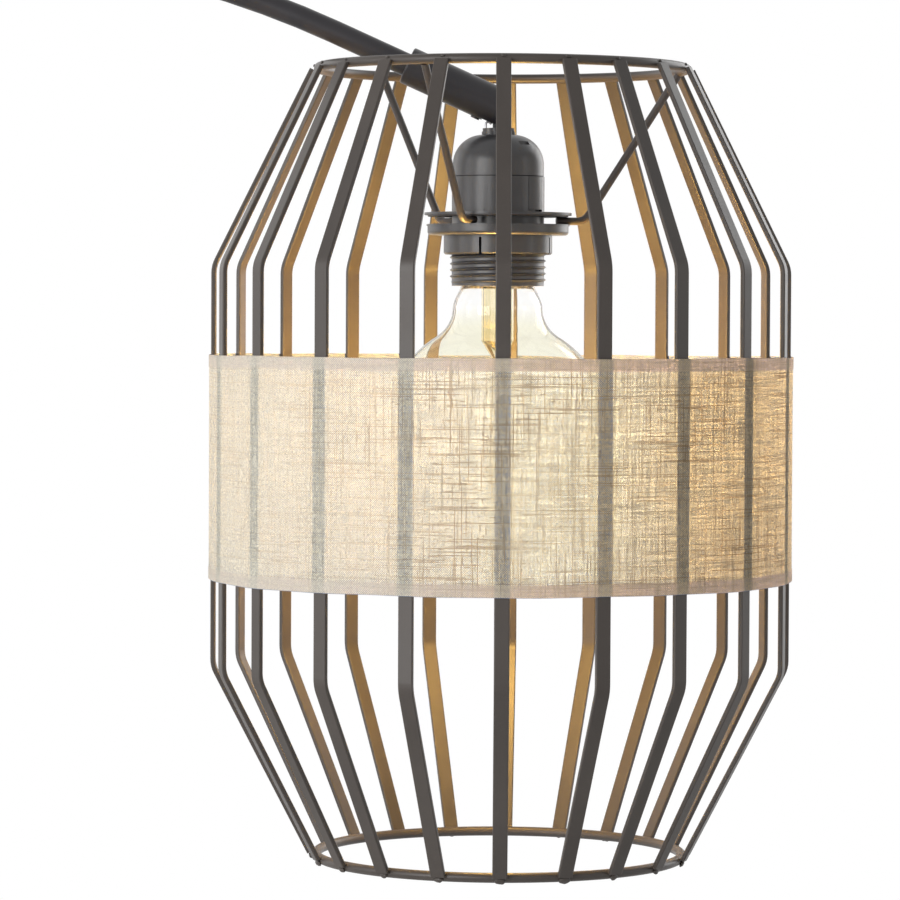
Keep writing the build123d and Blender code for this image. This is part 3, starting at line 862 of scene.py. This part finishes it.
@dataclass(frozen=True)
class SoftLamp:
    """A large lamp that points at the shade.

    Its azimuth goes from the camera's side towards +X, and its rise is above the horizon, both in
    degrees. Its level is how bright a white surface that faces it renders.
    """

    name: str
    azimuth: float
    rise: float
    wide: float
    tall: float
    level: float

    def hang(self, head: Vector, away: float) -> None:
        """Put the lamp in the scene.

        Args:
            head: What it points at.
            away: How far it is from there.
        """
        data = bpy.data.lights.new(self.name, "AREA")
        data.shape = "RECTANGLE"
        data.size = self.wide
        data.size_y = self.tall
        data.energy = self.level * (math.pi * away) ** 2
        light = bpy.data.objects.new(self.name, data)
        side, up = math.radians(self.azimuth), math.radians(self.rise)
        aim = Vector((math.sin(side) * math.cos(up), -math.cos(side) * math.cos(up), math.sin(up)))
        light.location = head + aim * away
        light.rotation_euler = aim.to_track_quat("Z", "Y").to_euler()
        light.visible_camera = False
        bpy.context.scene.collection.objects.link(light)


@dataclass
class Studio:
    """The camera, the lamps, the backdrop and the floor."""

    head: Vector
    lens: float = 168.9
    sensor: float = 36.0
    tilt: float = 1.9
    lean: float = 0.26
    back: float = 1.744
    left: float = 0.0209
    down: float = 0.0993
    ambient: float = 0.07
    lamps_away: float = 3.0
    lamps: tuple[SoftLamp, ...] = (
        SoftLamp("key_light", -38.0, 6.0, 1.8, 1.8, 0.74),
        SoftLamp("strip_light", -80.0, 6.0, 0.8, 2.0, 0.17),
        SoftLamp("far_strip", 76.0, 6.0, 0.8, 2.0, 0.07),
        SoftLamp("left_light", -128.0, 14.0, 2.0, 2.0, 0.14),
        SoftLamp("right_light", 134.0, 14.0, 2.0, 2.0, 0.42),
    )
    floor_reach: float = 2.6
    floor_grey: Colour = (0.80, 0.80, 0.79)
    floor_white: Colour = (0.84, 0.84, 0.83)
    floor_clouds: float = 1.3
    floor_light_side: float = 5.6
    floor_light_height: float = 1.1
    floor_light_level: float = 0.5

    def camera(self) -> None:
        """Stand the camera where the photograph was taken from."""
        data = bpy.data.cameras.new("camera")
        data.lens = self.lens
        data.sensor_width = self.sensor
        data.clip_end = 60.0
        camera = bpy.data.objects.new("camera", data)
        camera.location = self.head + Vector((-self.left, -self.back, -self.down))
        upright = Matrix.Rotation(math.radians(90.0 - self.tilt), 4, "X")
        roll = Matrix.Rotation(math.radians(self.lean), 4, "Z")
        camera.rotation_euler = (upright @ roll).to_euler()
        bpy.context.scene.collection.objects.link(camera)
        bpy.context.scene.camera = camera
        bpy.context.scene.view_settings.view_transform = "Standard"

    def world(self) -> None:
        """Make the surroundings white to look at and dimmer as a light."""
        world = bpy.data.worlds.new("studio")
        world.use_nodes = True
        bpy.context.scene.world = world
        graph = Graph(world.node_tree)
        path = graph.node("ShaderNodeLightPath").outputs
        seen = Value(graph, path["Is Camera Ray"]).most(Value(graph, path["Is Glossy Ray"]))
        seen = seen.most(Value(graph, path["Is Transmission Ray"]))
        level = opaque((1.0, 1.0, 1.0))
        dim = graph.node("ShaderNodeBackground", None, {"Color": level, "Strength": self.ambient})
        white = graph.node("ShaderNodeBackground", None, {"Color": level, "Strength": 1.0})
        graph.node("ShaderNodeOutputWorld", None, {"Surface": graph.cross(seen, dim, white)})

    def floor_light(self) -> None:
        """Hang a wide lamp under the shade that lights the floor and nothing above it."""
        data = bpy.data.lights.new("floor_light", "AREA")
        data.size = self.floor_light_side
        data.energy = self.floor_light_level * math.pi * self.floor_light_side ** 2
        light = bpy.data.objects.new("floor_light", data)
        light.location = (0.0, 0.0, self.floor_light_height)
        light.visible_camera = False
        light.visible_glossy = False
        light.visible_transmission = False
        bpy.context.scene.collection.objects.link(light)

    def floor(self) -> None:
        """Lay the pale floor that keeps the lamp's shadow."""
        dress = Dress("floor_finish")
        graph = dress.graph
        cloud = graph.noise(dress.place(), self.floor_clouds, 3.0)
        colour = graph.blend(cloud, opaque(self.floor_grey), opaque(self.floor_white))
        shader = dress.principled({"Base Color": colour, "Roughness": 0.9, "Specular IOR Level": 0.1})
        work = bmesh.new()
        bmesh.ops.create_grid(work, x_segments=2, y_segments=2, size=self.floor_reach)
        mesh = bpy.data.meshes.new("floor")
        work.to_mesh(mesh)
        work.free()
        shown("floor", mesh, dress.end(shader))

    def build(self) -> None:
        """Set the studio up."""
        self.camera()
        self.world()
        self.floor()
        self.floor_light()
        for lamp in self.lamps:
            lamp.hang(self.head, self.lamps_away)
        LOG.info("studio is set")


@dataclass
class Cage:
    """The rings, the ribs and their welds."""

    centre: Vector
    foot: Vector
    ring_radius: float = 75.6 * MM
    ring_wire: float = 4.0 * MM
    ribs: int = 20
    rib_lean: float = 29.0
    weld_width: float = 4.4 * MM
    weld_length: float = 2.6 * MM
    weld_thickness: float = 1.5 * MM
    weld_reach: float = 0.12
    weld_lumps: float = 0.9 * MM
    weld_grain: float = 800.0
    top_weld_share: float = 0.5
    seed: int = 11

    def rib_names(self) -> list[str]:
        """Give the ribs' names."""
        return [f"rib_{number:02d}" for number in range(1, self.ribs + 1)]

    def rib_turns(self) -> list[float]:
        """Find the ribs' places round the cage.

        Returns:
            Their angles from +X, in rising order.
        """
        turns = []
        for name in self.rib_names():
            out = middle_of(name) - self.centre
            turns.append(math.atan2(out.y, out.x) % (2.0 * math.pi))
        return sorted(turns)

    def paint(self) -> None:
        """Paint the rings and the ribs."""
        for node in ["top_ring", "bottom_ring", *self.rib_names()]:
            cover(node, Finish.CAGE_PAINT.material())

    def welds(self, name: str, level: float, side: float) -> None:
        """Drop a dab of weld where each rib ends on a ring.

        Args:
            name: The piece's name.
            level: The height of the ring.
            side: 1 for the upper ring and -1 for the lower one.
        """
        lean = math.radians(self.rib_lean)
        share = 1.0 if side < 0.0 else self.top_weld_share
        reach = (0.5 + self.weld_reach * share) * self.ring_wire
        grower = Grower(name)
        graph = grower.graph
        sizes = grower.sizes(
            Width=self.weld_width * share,
            Length=self.weld_length * share,
            Thickness=self.weld_thickness * share,
            Lumps=self.weld_lumps * share,
            Lean=-side * lean,
            Centre=Vector((self.centre.x, self.centre.y, level)),
        )
        points = graph.node("GeometryNodeMeshToPoints", None, {"Mesh": grower.entry.outputs["Geometry"]})
        bead = graph.node("GeometryNodeMeshIcoSphere", None, {"Radius": 0.5, "Subdivisions": 3})
        index = graph.node("GeometryNodeInputIndex").outputs[0]
        place = graph.node("GeometryNodeInputPosition").outputs[0]
        away = graph.node(
            "ShaderNodeVectorMath", {"operation": "SUBTRACT"}, {0: place, 1: sizes["Centre"]}
        )
        x, y, _ = graph.parts(away)
        facing = y.math("ARCTAN2", x)

        def chance(low: float, high: float, seed: int) -> Value:
            """Give each dab its own number."""
            inputs = {2: low, 3: high, "ID": index, "Seed": seed}
            return graph.number("FunctionNodeRandomValue", {"data_type": "FLOAT"}, inputs, 1)

        turn = graph.vector(chance(-0.3, 0.3, self.seed), sizes["Lean"], facing)
        size = graph.vector(
            sizes["Thickness"] * chance(0.8, 1.15, self.seed + 1),
            sizes["Width"] * chance(0.75, 1.15, self.seed + 2),
            sizes["Length"] * chance(0.8, 1.2, self.seed + 3),
        )
        beads = graph.node(
            "GeometryNodeInstanceOnPoints",
            None,
            {"Points": points, "Instance": bead, "Rotation": turn, "Scale": size},
        )
        real = graph.node("GeometryNodeRealizeInstances", None, {0: beads})
        lumps = graph.noise(place, self.weld_grain, 1.0)
        normal = graph.node("GeometryNodeInputNormal")
        push = graph.node(
            "ShaderNodeVectorMath",
            {"operation": "SCALE"},
            {0: normal, "Scale": (lumps - 0.5) * sizes["Lumps"]},
        )
        rough = graph.node("GeometryNodeSetPosition", None, {"Geometry": real, "Offset": push})
        spots = [
            Vector((self.centre.x, self.centre.y, level + side * reach * math.sin(lean)))
            + Vector((math.cos(angle), math.sin(angle), 0.0)) * (self.ring_radius + reach * math.cos(lean))
            for angle in self.rib_turns()
        ]
        mesh = grower.bake(rough.outputs[0], Finish.CAGE_PAINT.material(), spots)
        fit(shown(name, mesh, Finish.CAGE_PAINT.material()), "shade", "cage_paint")

    def build(self) -> None:
        """Paint the cage and weld it."""
        self.paint()
        self.welds("bottom_welds", self.foot.z, -1.0)
        self.welds("top_welds", self.centre.z, 1.0)
        LOG.info("cage is painted and welded")


@dataclass
class Band:
    """The linen band, stretched round the ribs and glued."""

    cage: Cage
    radius: float = 119.95 * MM
    cloth: float = 0.42 * MM
    thread: float = 0.45 * MM
    let_through: float = 0.262
    hem: float = 5.0 * MM
    hem_swell: float = 0.16 * MM
    hem_step: float = 0.25 * MM
    hem_rows: tuple[float, ...] = (0.0, 0.8 * MM, 2.4 * MM)
    fold_steps: int = 6
    dip: float = 0.32 * MM
    edge_hold: float = 0.6
    wave: float = 0.12 * MM
    ripple: float = 0.08 * MM
    back_drop: float = 1.1 * MM
    back_slant: float = 0.4 * MM
    steps: int = 400
    rows: int = 30
    spare: float = 10.0 * MM
    inside_turns: int = 8

    def section(self, half: float) -> list[tuple[float, float]]:
        """Give the closed outline of the cloth, as its way out from the ribs and its height.

        Args:
            half: Half the band's height.

        Returns:
            The points, up the outside and down the inside.
        """
        fold = 0.5 * self.cloth
        thick = self.cloth + self.hem_swell
        out = [(thick if abs(z) > half - self.hem else self.cloth, z) for z in self.heights(half - fold)]
        top = [
            (0.5 * thick + 0.5 * thick * math.cos(a), half - fold + fold * math.sin(a))
            for a in (math.pi * k / self.fold_steps for k in range(1, self.fold_steps))
        ]
        back = [(0.0, z) for z in reversed(self.heights(half - fold))]
        low = [(radius, -height) for radius, height in reversed(top)]
        return out + top + back + low

    def heights(self, half: float) -> list[float]:
        """Space the rows of the cloth, closer at the hems.

        Args:
            half: How far up and down they go.

        Returns:
            The rows' heights, upwards.
        """
        inner = half - self.hem + 0.5 * self.cloth
        end = inner - self.hem_step
        middle = [-end + 2.0 * end * k / self.rows for k in range(self.rows + 1)]
        edge = [*(half - down for down in self.hem_rows), inner + self.hem_step]
        return [-z for z in edge] + middle + list(reversed(edge))

    def lift(self, angle: float, height: float, half: float) -> float:
        """Give how far the cloth lies above its level.

        Args:
            angle: Where, as an angle from +X.
            height: The level, from the band's middle.
            half: Half the band's height.

        Returns:
            The rise: the edges wave all round, and the upper one lies lower at the back.
        """
        wave = self.wave * math.sin(7.0 * angle) + self.ripple * math.sin(17.0 * angle + 1.0)
        drop = (self.back_drop + self.back_slant * math.cos(angle)) * (0.5 + 0.5 * math.sin(angle)) ** 3
        return (wave - (drop if height > 0.0 else 0.0)) * height / half

    def sag(self, turns: list[float], angle: float) -> float:
        """Give how much the cloth dips.

        Args:
            turns: The ribs' angles, in rising order.
            angle: Where, as an angle from +X.

        Returns:
            0 on a rib and 1 halfway between two.
        """
        whole = 2.0 * math.pi
        for here, after in zip(turns, [*turns[1:], turns[0] + whole]):
            share = ((angle - here) % whole) / (after - here)
            if share <= 1.0:
                return math.sin(math.pi * share) ** 2
        return 0.0

    def build(self) -> None:
        """Make the band with coordinates that follow its threads."""
        centre = self.cage.centre
        turns = self.cage.rib_turns()
        low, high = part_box("fabric_band")
        half = 0.5 * (high.z - low.z)
        middle = 0.5 * (high.z + low.z)
        section = self.section(half)
        work = bmesh.new()
        layer = work.loops.layers.uv.new("threads")
        rows = []
        for step in range(self.steps):
            angle = 2.0 * math.pi * step / self.steps + 0.5 * math.pi
            dip = self.dip * self.sag(turns, angle)
            rows.append([])
            for out, height in section:
                radius = self.radius + out - dip * (1.0 - (height / half) ** 4 * self.edge_hold)
                rows[-1].append(
                    work.verts.new(
                        (
                            centre.x + radius * math.cos(angle),
                            centre.y + radius * math.sin(angle),
                            middle + height + self.lift(angle, height, half),
                        )
                    )
                )
        count = len(section)
        inner_side = count - len(self.heights(half)) - (self.fold_steps - 1)
        around = 2.0 * math.pi * self.radius
        for step in range(self.steps):
            here, there = rows[step], rows[(step + 1) % self.steps]
            for at in range(count):
                after = (at + 1) % count
                face = work.faces.new((here[at], there[at], there[after], here[after]))
                face.smooth = True
                corners = [(step, at), (step + 1, at), (step + 1, after), (step, after)]
                turned = around * self.inside_turns if at >= inner_side else 0.0
                for loop, (turn, level) in zip(face.loops, corners):
                    loop[layer].uv = (turned + around * (turn / self.steps - 0.5), section[level][1])
        mesh = bpy.data.meshes.new("linen_band")
        work.to_mesh(mesh)
        work.free()
        outward(mesh)
        linen = Linen("linen_finish", self.thread, half - self.hem, self.radius, self.let_through)
        piece = shown("linen_band", mesh, linen.material())
        fit(piece, "shade", "linen", "fabric_band")
        around + self.spare
        2.0 * half + 2.0 * self.hem
        self.cage.rib_names()


@dataclass
class Holder:
    """The bulb holder, its thread, its nut, its spider and what it hangs from.

    The thread is wound on the solid barrel. A higher sharpness makes its crests thinner, and they fade
    out at both ends, each over the thread's length divided by the fade.
    """

    centre: Vector
    thread_top: float = -65.95 * MM
    thread_end: float = -88.1 * MM
    core: float = 19.04 * MM
    depth: float = 0.8 * MM
    pitch: float = 2.6 * MM
    wall: float = 0.5 * MM
    sharpness: float = 3.6
    fade: float = 20.0
    at_once: float = 1000.0
    steps: int = 96
    rows: int = 240
    moulded: tuple[str, ...] = ("holder_cap", "holder_body", "cord_grip", "shade_ring_nut")
    spider: tuple[str, ...] = ("spider_hub", "spider_wire_1", "spider_wire_2", "spider_wire_3")
    brass: tuple[str, ...] = ("socket_shell", "centre_contact", "terminal_screws")

    def thread(self) -> None:
        """Wind the barrel's screw thread."""
        grower = Grower("barrel_thread")
        graph = grower.graph
        sizes = grower.sizes(
            Core=self.core,
            Depth=self.depth,
            Pitch=self.pitch,
            Top=self.thread_top,
            Length=self.thread_top - self.thread_end,
            Wall=self.wall,
            Centre=self.centre,
        )
        grid = graph.node(
            "GeometryNodeMeshGrid",
            None,
            {"Size X": 1.0, "Size Y": 1.0, "Vertices X": self.steps + 1, "Vertices Y": self.rows + 1},
        )
        across, along, _ = graph.parts(graph.node("GeometryNodeInputPosition"))
        angle = (across + 0.5) * (2.0 * math.pi)
        share = along + 0.5
        last = 2.0 / self.rows
        outside = (share / (1.0 - last)).least(1.0)
        inside = ((share - (1.0 - last)) / last).most(0.0)
        fall = outside - inside
        height = fall * sizes["Length"]
        wave = (height / sizes["Pitch"] * (2.0 * math.pi) + angle).cosine() * 0.5 + 0.5
        ends = (fall * self.fade).least(1.0) * ((1.0 - fall) * self.fade).least(1.0)
        crest = wave ** self.sharpness * sizes["Depth"] * ends
        hidden = (inside * self.at_once).least(1.0)
        radius = sizes["Core"] + crest - hidden * (sizes["Wall"] + crest)
        ring = graph.vector(radius * angle.cosine(), radius * angle.sine(), sizes["Top"] - height)
        place = graph.node("ShaderNodeVectorMath", {"operation": "ADD"}, {0: ring, 1: sizes["Centre"]})
        wound = graph.node("GeometryNodeSetPosition", None, {"Geometry": grid, "Position": place})
        plastic = Finish.HOLDER_PLASTIC.material()
        mesh = grower.bake(wound.outputs[0], plastic)
        fit(shown("barrel_thread", mesh, plastic), "shade", "holder_plastic")

    def build(self) -> None:
        """Dress the holder and wind its thread."""
        for node in self.moulded:
            cover(node, Finish.HOLDER_PLASTIC.material())
        for node in self.spider:
            cover(node, Finish.SPIDER_PAINT.material())
        cover("holder_flex", Finish.CORD_RUBBER.material())
        cover("hanger_wire", Finish.BARE_WIRE.material())
        cover("socket_insulator", Finish.SOCKET_CERAMIC.material())
        for node in self.brass:
            cover(node, Finish.SOCKET_BRASS.material())
        self.thread()
        LOG.info("holder is dressed")


@dataclass
class Bulb:
    """The globe bulb and its light."""

    centre: Vector
    middle: float = -142.0 * MM
    neck_tint: float = -99.0 * MM
    glow: float = 2.55
    glow_radius: float = 13.0 * MM
    warm: Colour = (1.0, 0.585, 0.15)

    def build(self) -> None:
        """Dress the bulb and light it."""
        change = self.centre.z + self.neck_tint
        # The warm tints of the globe and of the stem are painted glow of the lit bulb, and their edge
        # colours are painted shade.
        globe = Glass(
            "globe_glass",
            neck=(1.0, 1.0, 0.995),
            globe=(0.972, 0.960, 0.875),
            edge=(0.80, 0.72, 0.55),
            change_at=change,
        )
        stem = Glass(
            "stem_glass_finish",
            neck=(0.93, 0.87, 0.70),
            globe=(0.90, 0.81, 0.62),
            edge=(0.66, 0.50, 0.28),
            change_at=change,
            edge_from=0.6,
        )
        cover("bulb_glass", globe.material())
        cover("bulb_stem", stem.material())
        cover("bulb_cap", Finish.CAP_METAL.material())
        cover("bulb_tip", Finish.CAP_METAL.material())
        cover("bulb_insulator", Finish.CAP_INSULATOR.material())
        cover("bulb_filaments", Finish.FILAMENT.material())
        cover("filament_supports", Finish.SUPPORT_WIRE.material())
        data = bpy.data.lights.new("bulb_light", "POINT")
        data.energy = self.glow
        data.color = self.warm
        data.shadow_soft_size = self.glow_radius
        light = bpy.data.objects.new("bulb_light", data)
        light.location = self.centre + Vector((0.0, 0.0, self.middle))
        light.visible_camera = False
        light.visible_transmission = False
        bpy.context.scene.collection.objects.link(light)
        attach(light, "bulb")
        LOG.info("bulb is lit")


@dataclass
class Stand:
    """The base, the pole and the arm."""

    painted: tuple[str, ...] = (
        "base_cover",
        "pole_foot",
        "pole_lower",
        "pole_joiner",
        "pole_upper",
        "arm_collar",
    )
    plated: tuple[str, ...] = ("base_washer", "base_nut", "pole_nipple")

    def build(self) -> None:
        """Dress the stand and the arm."""
        for node in self.painted:
            cover(node, Finish.STAND_PAINT.material())
        for node in ("arc_arm", "end_sleeve"):
            cover(node, Finish.ARM_PAINT.material())
        for node in self.plated:
            cover(node, Finish.ZINC_STEEL.material())
        for node in ("collar_screw", "flex_clamp_screw"):
            cover(node, Finish.BLACK_STEEL.material())
        cover("base_weight", Finish.CAST_IRON.material())
        cover("base_pad", Finish.FELT.material())
        cover("cord_bush", Finish.CORD_RUBBER.material())
        LOG.info("stand and arm are dressed")


def middle_of(node: str) -> Vector:
    """Give the middle of a node's box."""
    low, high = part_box(node)
    return (Vector(low) + Vector(high)) * 0.5


def main() -> None:
    """Build the lamp's looks in order."""
    logging.basicConfig(level=logging.INFO, format="%(message)s")
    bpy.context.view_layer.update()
    head = middle_of("top_ring")
    cage = Cage(head, middle_of("bottom_ring"))
    holder = middle_of("spider_hub")
    hung = Vector((holder.x, holder.y, head.z))
    for part in (Studio(head), Stand(), cage, Holder(hung), Bulb(hung), Band(cage)):
        part.build()


if __name__ == "__main__":
    main()
